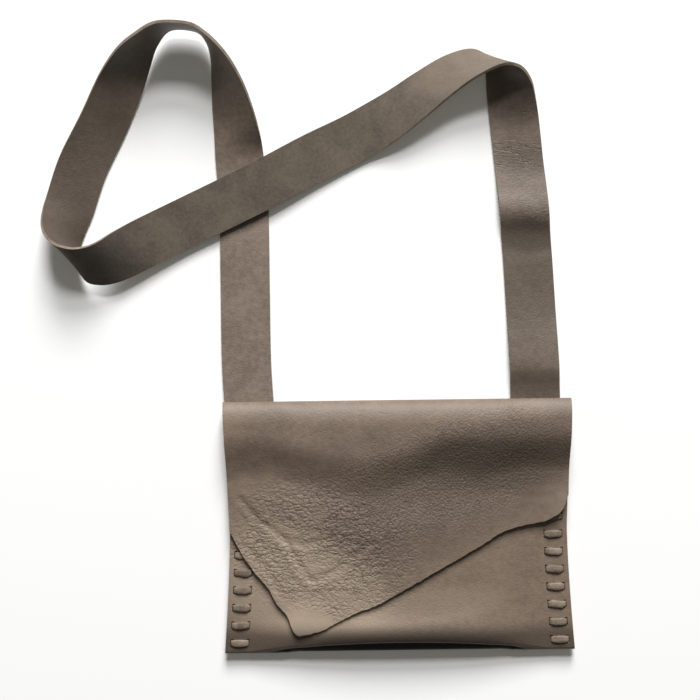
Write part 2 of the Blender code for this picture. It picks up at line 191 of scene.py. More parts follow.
bagLook = {
    "light": srgb(130, 113, 98), "dark": srgb(113, 97, 84),
    "lighter": srgb(164, 146, 128), "tipHighlight": srgb(192, 173, 152),
    # the colours on the next line paint shade: in the troughs and along the lower front, in folds and pits,
    # and behind the lip
    "shadePaint": srgb(78, 66, 56), "crease": srgb(84, 71, 60), "hollowShade": srgb(26, 22, 18),
    # patches on the bag: middle, half lengths, turn and strength
    "creasedAt": (((-0.056, -0.014), (0.084, 0.058), -0.30, 1.0),),
    "pebbledAt": (((0.030, 0.035), (0.120, 0.048), 0.30, 1.0),),
    # lighter patches: one on the flap's lower left, and a painted highlight on the front below the flap
    "lighterAt": (
        ((-0.068, -0.046), (0.082, 0.054), -0.45, 1.0), ((0.015, -0.056), (0.075, 0.017), 0.12, 0.45),
    ),
    # painted highlight on the flap's lifted tip
    "tipHighlightAt": (((-0.064, -0.064), (0.024, 0.018), 0.0, 0.35),),
    # painted shade in the flap's troughs, where it slopes away from the light
    "shadePaintAt": (
        ((0.085, 0.052), (0.085, 0.030), 0.10, 0.50), ((0.035, 0.022), (0.110, 0.050), 0.30, 0.45),
        ((-0.010, 0.044), (0.110, 0.034), 0.05, 0.30),
    ),
    "flatAt": (
        ((-0.066, -0.068), (0.026, 0.016), 0.0, 1.0), ((0.108, 0.015), (0.028, 0.022), 0.0, 1.0),
    ),
    # how fine each pattern is, in cells or clouds a metre
    "patches": 55, "folds": 95, "pillows": 290, "smallPillows": 470, "pebbles": 640, "grain": 1500,
    "clouds": 22, "mottle": 240, "pits": 620,
    # where the front turns to its lip: from and to, off the lip and at both sides
    "turn": (0.0004, 0.0140), "turnLeft": (-0.100, -0.045), "turnRight": (0.100, 0.060),
    "grainDepth": 0.00050,
}  # fmt: skip


def bagLeather():
    look = bagLook
    g = Graph("bagGrain")
    place = g.coordinates()
    x, y, z = g.parts(place)
    bent = warped(g, place, 130, 0.0045)
    fine = warped(g, place, 600, 0.0010)
    creased = g.ovals(x, y, look["creasedAt"])
    pebbled = g.ovals(x, y, look["pebbledAt"])
    clear = g.between(g.ovals(x, y, look["flatAt"]), 0.0, 1.0, 1.0, 0.0)

    # the creased patch: folds between pillows, of two sizes
    patchy = g.between(g.clouds(place, look["patches"], 2), 0.36, 0.58)
    strength = creased * clear * (0.45 + patchy * 0.55)
    long = g.clouds(g.stretched(bent, (0.55, 1.15, 1.0), 0.12), look["folds"], 1, 0.5)
    folds = g.between((long - 0.5).absolute(), 0.0, 0.045)
    wide = g.stretched(bent, (0.85, 1.30, 1), 0.1)
    pillow = 1 - g.cells(wide, look["pillows"], "F1")
    joints = g.between(g.cells(wide, look["pillows"]), 0.0, 0.13)
    small = 1 - g.cells(g.stretched(bent, (1.0, 1.2, 1)), look["smallPillows"], "F1")
    lines = ((1 - folds) * 0.50 + (1 - joints) * 0.60) * strength

    # the grain everywhere
    pebble = 1 - g.cells(fine, look["pebbles"], "F1")
    grain = 1 - g.cells(fine, look["grain"], "F1")
    broad = g.clouds(place, look["clouds"], 3, 0.55, 0.4)
    mottle = g.clouds(place, look["mottle"], 4, 0.6)
    pits = g.between(g.clouds(place, look["pits"], 2, 0.5), 0.30, 0.37, 1.0, 0.0)
    pits = pits * (pebbled * 0.9 + creased * 0.3) * clear
    height = (pillow * 1.0 + small * 0.55) * strength - lines * 0.60 + mottle * 0.22 + grain * 0.16
    height = height + pebble * (0.22 + 0.50 * pebbled + 0.25 * creased) * clear - pits * 0.5

    colour = g.blend(g.between(broad * 0.5 + mottle * 0.5, 0.34, 0.66), look["dark"], look["light"])
    # lighter patches, the one on the front a painted highlight
    colour = g.blend(g.ovals(x, y, look["lighterAt"]) * 0.75, colour, look["lighter"])
    # painted highlight on the flap's tip
    colour = g.blend(g.ovals(x, y, look["tipHighlightAt"]), colour, look["tipHighlight"])
    # painted shade where the front's lower part curves away from the light, and in the flap's troughs
    low = g.between(y, -0.064, -0.078) * g.between(z, 0.004, 0.008)
    colour = g.blend(g.ovals(x, y, look["shadePaintAt"]) + low * 0.85, colour, look["shadePaint"])

    # painted shade: the front darkens towards its lip, where it turns away from the light, and is darkest
    # in the tuck behind it
    lip = bag["baseY"] + bag["lipSetBack"] - x * x * (bag["lipSetBack"] / bag["lipReach"] ** 2)
    lipShade = g.between(y - lip, *look["turn"], 1.0, 0.0)
    lipShade = lipShade * g.between(x, *look["turnLeft"]) * g.between(x, *look["turnRight"])
    colour = g.blend(lipShade * 0.72, colour, look["hollowShade"])
    # painted shade in the folds, between the pebbles and in the pits
    creaseShade = lines * 0.55 + (1 - pebble) * pebbled * 0.35 + pits * 0.6
    colour = g.blend(g.between(creaseShade, 0.0, 1.0), colour, look["crease"])
    crescentShade = g.between(y - lip, -0.0006, 0.0003, 1.0, 0.0) * g.between(y, -0.0879, -0.0873)
    crescentShade = crescentShade * g.between(x * x, 0.0102, 0.0066)
    colour = g.blend(crescentShade * 0.9, colour, look["hollowShade"])
    rough = 0.46 + mottle * 0.16 + (1 - joints) * strength * 0.1
    return g.finish(colour, rough, height, look["grainDepth"])


def fleshSide(name, light, dark, patches=()):
    # the hide's rough side; each patch, of painted light or painted shade, is a middle, half lengths, turn,
    # strength and colour
    g = Graph(name)
    place = g.coordinates()
    broad = g.clouds(place, 38, 3, 0.6, 0.6)
    nap = g.clouds(place, 420, 5, 0.7)
    fibre = g.clouds(g.stretched(warped(g, place, 300, 0.003), (1, 3.5, 1), 0.5), 900, 4, 0.7)
    tone = broad * 0.45 + nap * 0.40 + fibre * 0.15
    colour = g.blend(g.between(tone, 0.36, 0.64), dark, light)
    x, y = g.parts(place)[:2]
    for middle, reach, turn, amount, patch in patches:
        colour = g.blend(g.oval(x, y, middle, reach, turn) * amount, colour, patch)
    return g.finish(colour, 0.9 + nap * 0.08, nap * 0.7 + fibre * 0.3, 0.00035)


fleshLook = {"light": srgb(128, 115, 101), "dark": srgb(92, 81, 70)}
edgeLook = {"light": srgb(186, 172, 154), "dark": srgb(112, 99, 86)}


def rawEdge(name, light=edgeLook["light"]):
    g = Graph(name)
    place = g.coordinates()
    fibre = g.clouds(place, 1500, 4, 0.7)
    broad = g.clouds(place, 90, 2)
    colour = g.blend(g.between(fibre * 0.5 + broad * 0.5, 0.36, 0.66), edgeLook["dark"], light)
    return g.finish(colour, 0.85, fibre, 0.0003)


strapLook = {
    "light": srgb(134, 119, 106), "dark": srgb(111, 97, 85),
    # painted light and shade: shade and dim are painted shade, bright a painted highlight, crease the shade
    # in wrinkles
    "shade": srgb(74, 64, 55), "loopTopShade": srgb(38, 34, 30), "crestHighlight": srgb(172, 154, 137),
    "crease": srgb(84, 73, 63), "edge": srgb(158, 144, 128),
    "fleshLight": srgb(104, 93, 82), "fleshDark": srgb(80, 71, 62),
    # patches along the strap: middle, half lengths, turn and strength
    "wrinkledAt": (
        ((0.088, 0.262), (0.060, 0.014), 0.0, 1.0), ((0.108, 0.226), (0.034, 0.013), 0.0, 0.7),
    ),
    "shadeAt": (
        ((-0.225, 0.250), (0.060, 0.120), 0.0, 0.68), ((0.095, 0.206), (0.035, 0.016), 0.0, 0.50),
        ((0.100, 0.100), (0.035, 0.014), 0.0, 0.35), ((0.095, 0.150), (0.040, 0.160), 0.0, 0.36),
        ((0.088, 0.312), (0.034, 0.034), 0.0, 0.55), ((0.094, 0.259), (0.034, 0.016), 0.0, 0.30),
        ((0.094, 0.164), (0.040, 0.034), 0.0, 0.20),
    ),
    # painted shade at the top of the loop
    "loopTopShadeAt": (((-0.192, 0.346), (0.056, 0.040), 0.0, 0.50),),
    # painted highlight where the slanting run tilts towards the light
    "crestHighlightAt": (((0.030, 0.296), (0.055, 0.026), 0.5, 0.75),),
    # on the flesh side: painted light at the crest and painted shade at the left corner
    "fleshLightAndShade": (
        ((0.046, 0.326), (0.044, 0.030), 0.0, 0.32, srgb(146, 131, 116)),
        ((-0.212, 0.182), (0.044, 0.034), 0.0, 0.55, srgb(46, 41, 36)),
    ),
    "grainDepth": 0.00032,
}  # fmt: skip


def strapLeather():
    look = strapLook
    g = Graph("strapGrain")
    place = g.coordinates()
    x, y = g.parts(place)[:2]
    fine = warped(g, place, 700, 0.0006)
    pebble = 1 - g.cells(fine, 760, "F1")
    broad = g.clouds(place, 30, 3, 0.55, 0.5)
    mottle = g.clouds(place, 260, 4, 0.6)

    # fine lines across the strap where it has been bent
    run = g.coordinates("UV")
    wrinkle = g.clouds(g.stretched(run, (0.35, 1.5, 1.0), 0.15), 210, 2, 0.5, 0.3)
    wrinkled = g.ovals(x, y, look["wrinkledAt"]) + g.between(g.clouds(run, 9, 2), 0.48, 0.62) * 0.2
    lines = g.between((wrinkle - 0.5).absolute(), 0.0, 0.035, 1.0, 0.0) * wrinkled

    colour = g.blend(g.between(broad * 0.5 + mottle * 0.5, 0.34, 0.66), look["dark"], look["light"])
    # painted shade, then a painted highlight where the slanting run faces the light
    colour = g.blend(g.ovals(x, y, look["shadeAt"]), colour, look["shade"])
    colour = g.blend(g.ovals(x, y, look["loopTopShadeAt"]), colour, look["loopTopShade"])
    colour = g.blend(g.ovals(x, y, look["crestHighlightAt"]), colour, look["crestHighlight"])
    # painted shade in the wrinkles
    colour = g.blend(lines * 0.30, colour, look["crease"])
    height = pebble * 0.30 + mottle * 0.30 - lines * 0.60
    return g.finish(colour, 0.42 + mottle * 0.18, height, look["grainDepth"])


laceLook = {"light": srgb(150, 134, 117), "dark": srgb(104, 91, 78), "grainDepth": 0.00022}


def laceLeather(name):
    g = Graph(name)
    place = g.coordinates()
    broad = g.clouds(place, 120, 3, 0.6)
    grain = g.clouds(place, 900, 4, 0.65)
    tone = g.between(broad * 0.6 + grain * 0.4, 0.36, 0.64)
    colour = g.blend(tone, laceLook["dark"], laceLook["light"])
    return g.finish(colour, 0.58 + grain * 0.15, grain, laceLook["grainDepth"])


# Sheets of hide

def sheetPiece(name, columns, rows, place, flat, isCut, thickness, materials, turned=True):
    # a grid laid along the hide's middle, its slits cut out, then given its thickness
    shape = bmesh.new()
    bmesh.ops.create_grid(shape, x_segments=columns, y_segments=rows, size=0.5, calc_uvs=True)
    uv = shape.loops.layers.uv.verify()
    spots = {}
    for vert in shape.verts:
        spots[vert] = (round((vert.co.x + 0.5) * columns), round((vert.co.y + 0.5) * rows))
    cut = []
    for face in shape.faces:
        corners = [spots[vert] for vert in face.verts]
        if isCut(min(i for i, j in corners), min(j for i, j in corners)):
            cut.append(face)
        for loop in face.loops:
            loop[uv].uv = flat(*spots[loop.vert])
    for vert, (i, j) in spots.items():
        vert.co = place(i, j)
    bmesh.ops.delete(shape, geom=cut, context="FACES")
    if turned:
        bmesh.ops.reverse_faces(shape, faces=shape.faces)
    mesh = bpy.data.meshes.new(name)
    shape.to_mesh(mesh)
    shape.free()
    for material in materials:
        mesh.materials.append(material)
    mesh.shade_smooth()
    piece = bpy.data.objects.new(name, mesh)
    bpy.context.scene.collection.objects.link(piece)
    solid = piece.modifiers.new("Thickness", "SOLIDIFY")
    solid.thickness, solid.offset = thickness, 0
    solid.use_even_offset = True
    solid.material_offset, solid.material_offset_rim = 1, 2
    sharp = piece.modifiers.new("Sharp edges", "EDGE_SPLIT")
    sharp.split_angle = math.radians(60)
    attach(piece, "root")
    return piece


bag = {
    "foldY": 0.0905, "baseY": -0.0880, "waistHalf": 0.1193, "topSpread": 0.04, "flare": 0.0047,
    "mouthY": 0.0635, "rollTop": 0.0190, "pocketBulge": 0.0080, "flapRise": 0.0069,
    "mouthShare": 0.35, "baseShare": 0.90,  # of the pocket's bulge, at its mouth and at its base
    "lipSetBack": 0.0078, "lipReach": 0.1012, "lipRadius": 0.0014, "plainRadius": 0.0013,
    "plainShare": 0.36, "rearRadius": 0.0014,
    "tuckDepth": 0.0110, "tuckFull": 0.0400, "tuckShallow": 0.0620, "tuckEnd": 0.0900, "tuckLeast": 0.0006,
    "restHalf": 0.0675, "raisedHalf": 0.0785,  # between these the back rises over the strap's end
    "bendY": 0.0360,  # below it the flap's rows follow its raw edge
    "tip": (-0.0700, -0.0760), "tipLift": 0.0016, "tipReach": 0.0300,
    "corner": (0.1180, 0.0080), "cornerLift": 0.0026, "cornerReach": 0.0280,
    "trough": 0.45, "troughFrom": -0.010, "troughTo": 0.040, "rollBroad": 0.0085,
    "lowBulge": 0.0032, "lowBulgeY": -0.076, "lowBulgeReach": 0.013,  # along the front's lower edge
    "middleCell": 0.00146, "uvSize": (0.25, 0.55),
    "lipSteps": 8, "tuckSteps": 6, "foldSteps": 16, "slopeSteps": 34, "lyingSteps": 80,
    "easeRows": 8,  # over which the lumps set in below the top fold
    "flapEdge": (
        (-0.1193, 0.0000), (-0.1135, -0.0118), (-0.1073, -0.0218), (-0.1003, -0.0311),
        (-0.0906, -0.0411), (-0.0860, -0.0510), (-0.0770, -0.0603), (-0.0731, -0.0716),
        (-0.0698, -0.0745), (-0.0628, -0.0732), (-0.0522, -0.0705), (-0.0422, -0.0646),
        (-0.0311, -0.0588), (-0.0145, -0.0526), (0.0211, -0.0326), (0.0559, -0.0133),
        (0.0740, -0.0026), (0.0857, 0.0007), (0.1038, 0.0039), (0.1126, 0.0087),
        (0.1169, 0.0136), (0.1193, 0.0246),
    ),
    "flapSlope": (
        (-0.1193, 0.0330, 0.0680), (-0.0880, 0.0360, 0.0670), (-0.0490, 0.0240, 0.0560),
        (-0.0200, 0.0200, 0.0530), (0.0030, 0.0270, 0.0570), (0.0300, 0.0380, 0.0680),
        (0.0590, 0.0330, 0.0650), (0.0870, 0.0400, 0.0670), (0.1193, 0.0380, 0.0680),
    ),
}  # fmt: skip
lacing = {
    "stitches": 12, "firstY": -0.0803, "pitch": 0.01245, "bar": 0.0115, "inset": 0.0100,
    "slitWide": 0.0020, "slitPlay": 0.0003, "tail": 0.0060, "thongThick": 0.0013, "thongWide": 0.0050,
    "lean": 0.0011, "arch": 0.0005, "sag": 0.00045,  # how far a bar slants, rises and is domed
    "inSlit": 0.74, "onBar": 0.72, "swell": 0.20, "uneven": 0.16,  # shares of the thong's half width
}  # fmt: skip
thongLow = lacing["thongThick"] / 2
strapLow = lacing["thongThick"] + gap + hide / 2
backLow, backHigh = hide / 2, strapLow + hide + gap
frontLow = backHigh + hide + gap
thongHigh = frontLow + hide / 2 + gap + lacing["thongThick"] / 2
flapLow = thongHigh + lacing["thongThick"] / 2 + gap + hide / 2
slitInsets = [lacing["inset"] + side * lacing["bar"] / 2 + edge * lacing["slitWide"] / 2
              for side in (-1, 1) for edge in (-1, 1)]
slitHalf = lacing["thongWide"] / 2 + lacing["slitPlay"]


def stitchY(i):
    return lacing["firstY"] + i * lacing["pitch"]


def slitRows():
    rows = []
    for i in range(lacing["stitches"]):
        rows += [stitchY(i) - slitHalf, stitchY(i) + slitHalf]
    return rows


def sideAt(y):
    below = max(0.0, y / bag["baseY"])
    return bag["waistHalf"] + bag["topSpread"] * max(0.0, y) + bag["flare"] * below**1.5


def crown(x):
    return max(0.0, 1 - (x / (bag["waistHalf"] - slitInsets[-1])) ** 2)


def backZ(x):
    return mix(backLow, backHigh, smooth(abs(x), bag["restHalf"], bag["raisedHalf"]))


def frontZ(x, y):
    bulge = crown(x) * mix(1.0, bag["mouthShare"], smooth(y, 0.0, bag["mouthY"]))
    bulge *= mix(bag["baseShare"], 1.0, smooth(y, bag["baseY"], bag["baseY"] / 2))
    return frontLow + bag["pocketBulge"] * bulge


def foldCentre(x):
    radius = (bag["rollTop"] - backZ(x)) / 2
    return bag["foldY"] - hide / 2 - radius, backZ(x) + radius, radius


def flapZ(x, y):
    sunk = smooth(y, bag["troughFrom"], bag["troughTo"])
    lying = flapLow + bag["flapRise"] * crown(x) * mix(1.0, bag["trough"], sunk)
    lying += bag["tipLift"] * near(x, y, bag["tip"], bag["tipReach"])
    lying += bag["cornerLift"] * near(x, y, bag["corner"], bag["cornerReach"])
    foot, head = along(bag["flapSlope"], x)
    return mix(lying, bag["rollTop"], smooth(y, foot, head))


def arc(y, z, radius, start, end, steps):
    turns = [math.radians(mix(start, end, k / steps)) for k in range(steps + 1)]
    return [(y + radius * math.cos(a), z + radius * math.sin(a)) for a in turns]


def lipSetBack(x):
    return bag["lipSetBack"] * max(0.0, 1 - (x / bag["lipReach"]) ** 2)


def plainFold(x, steps):
    top, low, lean = frontZ(x, bag["baseY"]), backZ(x), lipSetBack(x)
    height = top - low
    radius = max(min(height / 2, bag["plainRadius"]), bag["plainShare"] * height)
    rearY = bag["baseY"] + hide / 2 + radius
    straight = math.hypot(lean, height - 2 * radius)
    slant = math.atan2(lean, 2 * radius - height - 1e-7)
    firstBend, bends = slant - math.pi / 2, math.pi
    length = radius * bends + straight
    points = []
    for k in range(steps + 1):
        gone = length * k / steps
        onWall = min(straight, max(0.0, gone - radius * firstBend))
        angle = math.pi / 2 + (gone - onWall) / radius
        share = onWall / straight if straight > 1e-6 else float(angle > slant)
        points.append((
            mix(rearY + lean, rearY, share) + radius * math.cos(angle),
            mix(top - radius, low + radius, share) + radius * math.sin(angle),
        ))
    return points


def bottomSection(x):
    top, low = frontZ(x, bag["baseY"]), backZ(x)
    lip, rear = bag["lipRadius"], bag["rearRadius"]
    tuck = max(bag["tuckLeast"], (top - low) / 2 - lip - rear)
    lipY = bag["baseY"] + hide / 2 + lip + lipSetBack(x)
    tuckY = lipY + bag["tuckDepth"] * (1 - smooth(abs(x), bag["tuckFull"], bag["tuckShallow"]))
    folded = arc(lipY, top - lip, lip, 90, 270, bag["lipSteps"])
    folded += arc(tuckY, top - 2 * lip - tuck, tuck, 90, -90, bag["tuckSteps"])
    folded += arc(bag["baseY"] + hide / 2 + rear, low + rear, rear, 90, 270, bag["lipSteps"])
    plain = plainFold(x, len(folded) - 1)
    t = 1 - smooth(abs(x), bag["tuckShallow"], bag["tuckEnd"])
    return [(mix(a[0], b[0], t), mix(a[1], b[1], t)) for a, b in zip(plain, folded)]


def frontEndY(x):
    plain = (frontZ(x, bag["baseY"]) - backZ(x)) / 2
    radius = mix(plain, bag["lipRadius"], 1 - smooth(abs(x), bag["tuckShallow"], bag["tuckEnd"]))
    return bag["baseY"] + hide / 2 + radius + lipSetBack(x)


relief = {
    # depth, size and seed of each layer of lumps, on the flap, on the front and along the raw edge
    "flapLumps": ((0.00035, 0.022, 1.0), (0.00014, 0.009, 5.0)), "frontLumps": ((0.0002, 0.020, 9.0),),
    "ragged": ((0.0006, 0.0060, 2.0), (0.0005, 0.0026, 4.0)),
    "creasedAt": (-0.062, -0.018), "creasedReach": 0.085, "creaseDepth": 0.00030, "foldHalf": 0.0024,
    "barPull": 0.00018, "barReach": 0.006, "barsFrom": 0.095,
}  # fmt: skip
# the folds in the flap's leather: points along each, and its depth
flapFolds = (
    (((-0.110, 0.022), (-0.098, 0.006), (-0.082, -0.004), (-0.070, -0.024), (-0.061, -0.036)), 0.00055),
    (((-0.061, -0.036), (-0.046, -0.030), (-0.031, -0.018), (-0.020, -0.010)), 0.00045),
    (((-0.084, -0.006), (-0.066, -0.010), (-0.046, -0.006)), 0.00035),
    (((-0.108, -0.012), (-0.094, -0.026), (-0.082, -0.046)), 0.00030),
)


def toLine(x, y, points):
    # distance to a line through points
    spot, best = Vector((x, y)), 1.0
    for start, end in zip(points, points[1:]):
        way = Vector(end) - Vector(start)
        share = min(1.0, max(0.0, (spot - Vector(start)).dot(way) / way.length_squared))
        best = min(best, (spot - Vector(start) - way * share).length)
    return best


def lumpy(x, y, layers):
    return sum(depth * ripple(x, y, size, seed) for depth, size, seed in layers)


def flapRelief(x, y):
    # soft lumps, and the folds of the creased patch at the lower left
    mask = near(x, y * 1.25, relief["creasedAt"], relief["creasedReach"])
    spot = Vector((x / 0.0085 + 0.35 * ripple(x, y, 0.006), y / 0.0062, 3.0))
    nearest, second = noise.voronoi(spot)[0][:2]  # cells a little wider than they are high
    crease = math.exp(-(((second - nearest) / 0.22) ** 2))
    lumps = lumpy(x, y, relief["flapLumps"])
    if mask > 0:
        wander = 0.0012 * ripple(x, y, 0.012, 7.0)
        for points, depth in flapFolds:
            away = toLine(x + wander, y - wander, points) / relief["foldHalf"]
            lumps += depth * (0.45 * math.exp(-((away - 1.9) ** 2)) - math.exp(-(away**2)))
    return lumps - relief["creaseDepth"] * mask * crease


def frontRelief(x, y):
    fromBulge = (y - bag["lowBulgeY"]) / bag["lowBulgeReach"]
    height = lumpy(x, y, relief["frontLumps"])
    height += bag["lowBulge"] * math.exp(-(fromBulge**2)) * crown(x * 1.03)
    if abs(x) > relief["barsFrom"]:  # the hide is drawn down a little at each bar
        toBar = abs((y - lacing["firstY"]) / lacing["pitch"] % 1.0 - 0.5) * 2  # 1 on a bar
        fromBars = (abs(x) - bag["waistHalf"] + lacing["inset"]) / relief["barReach"]
        height += relief["barPull"] * (0.5 - toBar) * math.exp(-(fromBars**2))
    return height


def ragged(x, y):
    # how far the raw edge strays from its line
    return lumpy(x, y, relief["ragged"])


def edgeAt(x):
    # the flap's raw edge, its corners a little rounded
    spread = (-0.0016, -0.0008, 0.0, 0.0008, 0.0016)
    lines = [along(bag["flapEdge"], x + d)[0] for d in spread]
    return sum(lines) / len(lines)


def bagSection(x):
    bendAt = bag["baseY"] / 2
    frontEnd = frontEndY(x)
    plainRadius = (frontZ(bag["waistHalf"], bag["baseY"]) - backZ(bag["waistHalf"])) / 2
    cornerEnd = bag["baseY"] + hide / 2 + plainRadius
    points = []
    for y in frontLines:
        if y < bendAt:
            y = bendAt + (y - bendAt) * (frontEnd - bendAt) / (cornerEnd - bendAt)
        points.append((y, frontZ(x, y) + frontRelief(x, y)))
    drop = frontRelief(x, frontEnd)
    bottom = bottomSection(x)
    for k, (y, z) in enumerate(bottom):
        points.append((y, z + drop * (1 - smooth(k, 0, bag["lipSteps"]))))
    points += [(y, backZ(x)) for y in slitRows()]
    foldY, foldZ, radius = foldCentre(x)
    points += arc(foldY, foldZ, radius, -90, 0, bag["foldSteps"] // 2)
    rollY = foldY - bag["rollBroad"]
    for y, z in arc(0, foldZ, radius, 0, 90, bag["foldSteps"])[1:]:
        points.append((rollY + y * (1 + bag["rollBroad"] / radius), z))
    for k in range(1, bag["slopeSteps"] + 1):
        y = mix(rollY, bag["bendY"], k / bag["slopeSteps"])
        points.append((y, flapZ(x, y) + flapRelief(x, y) * smooth(k, 0, bag["easeRows"])))
    edge = edgeAt(x) + ragged(x, 0.0)
    for k in range(1, bag["lyingSteps"] + 1):
        y = mix(bag["bendY"], edge, k / bag["lyingSteps"])
        points.append((y, flapZ(x, y) + flapRelief(x, y)))
    return points


def splitLines(lines, finerBelow):
    # lines from high to low, with four steps between those that show and one between the others
    found = [lines[0]]
    for start, end in zip(lines, lines[1:]):
        steps = 4 if end < finerBelow else 1
        found += [mix(start, end, k / steps) for k in range(1, steps + 1)]
    return found


frontLines = splitLines([bag["mouthY"]] + slitRows()[::-1], 0.012)


def bagColumns():
    # (inset from the side, or None, and x at the waist) of each column, narrow ones along the sides
    insets = [0.0, 0.0011, 0.0022, slitInsets[0], slitInsets[1]]
    insets += [mix(slitInsets[1], slitInsets[2], k / 7) for k in range(1, 8)] + [slitInsets[3]]
    half = bag["waistHalf"] - slitInsets[3]
    count = round(2 * half / bag["middleCell"])
    middle = [(None, mix(-half, half, k / count)) for k in range(1, count)]
    left = [(inset, inset - bag["waistHalf"]) for inset in insets]
    right = [(inset, bag["waistHalf"] - inset) for inset in reversed(insets)]
    return left + middle + right


def makeBag():
    columns = bagColumns()
    sections = [bagSection(x) for inset, x in columns]
    lastColumn, lastRow = len(columns) - 1, len(sections[0]) - 1
    outerSlit, innerSlit = 3, 11  # counted in faces from the bag's side
    cutColumns = {outerSlit, innerSlit, lastColumn - 1 - outerSlit, lastColumn - 1 - innerSlit}
    slitSpans = list(zip(slitRows()[::2], slitRows()[1::2]))

    def inSlit(j):
        between = (frontLines[j] + frontLines[j + 1]) / 2
        return any(low < between < high for low, high in slitSpans)

    cutRows = {j for j in range(len(frontLines) - 1) if inSlit(j)}
    firstBack = len(frontLines) + len(bottomSection(0))
    cutRows |= {firstBack + 2 * k for k in range(lacing["stitches"])}

    def place(i, j):
        inset, x = columns[i]
        y, z = sections[i][j]
        if inset is None:
            return (x * sideAt(y) / bag["waistHalf"], y, z)
        return (math.copysign(sideAt(y) - inset, x), y, z)

    def flat(i, j):
        return (i / lastColumn * bag["uvSize"][0], j / lastRow * bag["uvSize"][1])

    return sheetPiece(
        "bagBody", lastColumn, lastRow, place, flat,
        lambda i, j: i in cutColumns and j in cutRows, hide,
        [bagLeather(), fleshSide("bagFlesh", **fleshLook), rawEdge("bagEdge")],
    )


strap = {
    "width": 0.0350, "inset": 0.0183, "endY": -0.0850, "step": 0.0022, "routeRoot": 0.1036,
    "columns": 13, "columnsBetweenSlits": 5,  # the first is up to the inner slits
    # x, y above the top fold, how far the lower edge is off the table, direction across
    "route": (
        (-0.1050, -0.0020, 0.0016, (-1.00, 0.00, 0.00)), (-0.1066, 0.0300, 0.0005, (-1.00, 0.01, 0.00)),
        (-0.1068, 0.0800, 0.0001, (-1.00, 0.01, 0.00)), (-0.1070, 0.1380, 0.0001, (-0.99, -0.11, 0.00)),
        (-0.1094, 0.1710, 0.0001, (-0.96, -0.25, -0.04)), (-0.1115, 0.1920, 0.0001, (-0.88, -0.25, -0.40)),
        (-0.1155, 0.2147, 0.0001, (-0.71, -0.21, -0.67)), (-0.1198, 0.2328, 0.0015, (-0.47, -0.13, -0.87)),
        (-0.1243, 0.2453, 0.0040, (-0.23, -0.06, -0.97)), (-0.1305, 0.2552, 0.0060, (-0.04, 0.01, -1.00)),
        (-0.1400, 0.2622, 0.0070, (0.07, 0.06, -0.99)), (-0.1600, 0.2632, 0.0070, (0.17, 0.07, -0.98)),
        (-0.1729, 0.2538, 0.0060, (0.32, -0.03, -0.95)), (-0.1824, 0.2419, 0.0040, (0.56, -0.17, -0.81)),
        (-0.1929, 0.2236, 0.0015, (0.77, -0.27, -0.57)), (-0.2055, 0.1975, 0.0001, (0.86, -0.33, -0.46)),
        (-0.2205, 0.1685, 0.0001, (0.89, -0.34, -0.37)), (-0.2295, 0.1420, 0.0001, (0.86, -0.33, -0.39)),
        (-0.2340, 0.1265, 0.0001, (0.74, -0.30, -0.60)), (-0.2350, 0.1150, 0.0008, (0.55, -0.34, -0.76)),
        (-0.2312, 0.1050, 0.0030, (0.38, -0.45, -0.80)), (-0.2228, 0.0980, 0.0060, (0.24, -0.62, -0.75)),
        (-0.2130, 0.0968, 0.0075, (0.24, -0.70, -0.67)), (-0.2030, 0.0992, 0.0075, (0.28, -0.77, -0.57)),
        (-0.1905, 0.1060, 0.0060, (0.37, -0.86, -0.35)), (-0.1740, 0.1150, 0.0045, (0.43, -0.89, -0.17)),
        (-0.1480, 0.1277, 0.0034, (0.45, -0.89, -0.06)), (-0.0971, 0.1518, 0.0044, (0.46, -0.89, 0.00)),
        (-0.0586, 0.1718, 0.0028, (0.44, -0.90, 0.00)), (-0.0260, 0.1875, 0.0003, (0.42, -0.90, 0.05)),
        (0.0010, 0.2030, 0.0001, (0.37, -0.88, 0.28)), (0.0215, 0.2172, 0.0001, (0.31, -0.85, 0.43)),
        (0.0400, 0.2295, 0.0001, (0.24, -0.79, 0.57)), (0.0560, 0.2370, 0.0001, (0.20, -0.66, 0.72)),
        (0.0695, 0.2398, 0.0001, (0.40, -0.42, 0.81)), (0.0775, 0.2362, 0.0001, (0.62, -0.27, 0.73)),
        (0.0820, 0.2270, 0.0001, (0.84, -0.19, 0.50)), (0.0840, 0.2150, 0.0001, (0.94, -0.10, 0.32)),
        (0.0866, 0.1960, 0.0001, (0.98, -0.03, 0.14)), (0.0893, 0.1700, 0.0004, (1.00, -0.02, 0.02)),
        (0.0913, 0.1500, 0.0030, (1.00, -0.02, 0.00)), (0.0926, 0.1330, 0.0056, (1.00, -0.02, 0.00)),
        (0.0937, 0.1170, 0.0012, (1.00, -0.02, 0.00)), (0.0951, 0.0960, 0.0003, (1.00, -0.02, 0.00)),
        (0.0968, 0.0620, 0.0006, (1.00, -0.01, 0.00)), (0.0978, 0.0400, 0.0028, (1.00, 0.00, 0.00)),
        (0.0985, 0.0225, 0.0040, (1.00, 0.00, 0.00)), (0.0988, 0.0090, 0.0022, (1.00, 0.00, 0.00)),
        (0.0990, -0.0020, 0.0016, (1.00, 0.00, 0.00)),
    ),
}  # fmt: skip


def routePoint(points, place):
    i = min(int(place), len(points) - 2)
    t = place - i
    before, start, end = points[max(0, i - 1)], points[i], points[i + 1]
    after = points[min(len(points) - 1, i + 2)]
    leave, arrive = (end - before) / 2, (after - start) / 2
    return (
        start * (2 * t**3 - 3 * t**2 + 1) + leave * (t**3 - 2 * t**2 + t)
        + end * (3 * t**2 - 2 * t**3) + arrive * (t**3 - t**2)
    )


def strapEndX(side, y):
    return side * (sideAt(y) - strap["inset"])


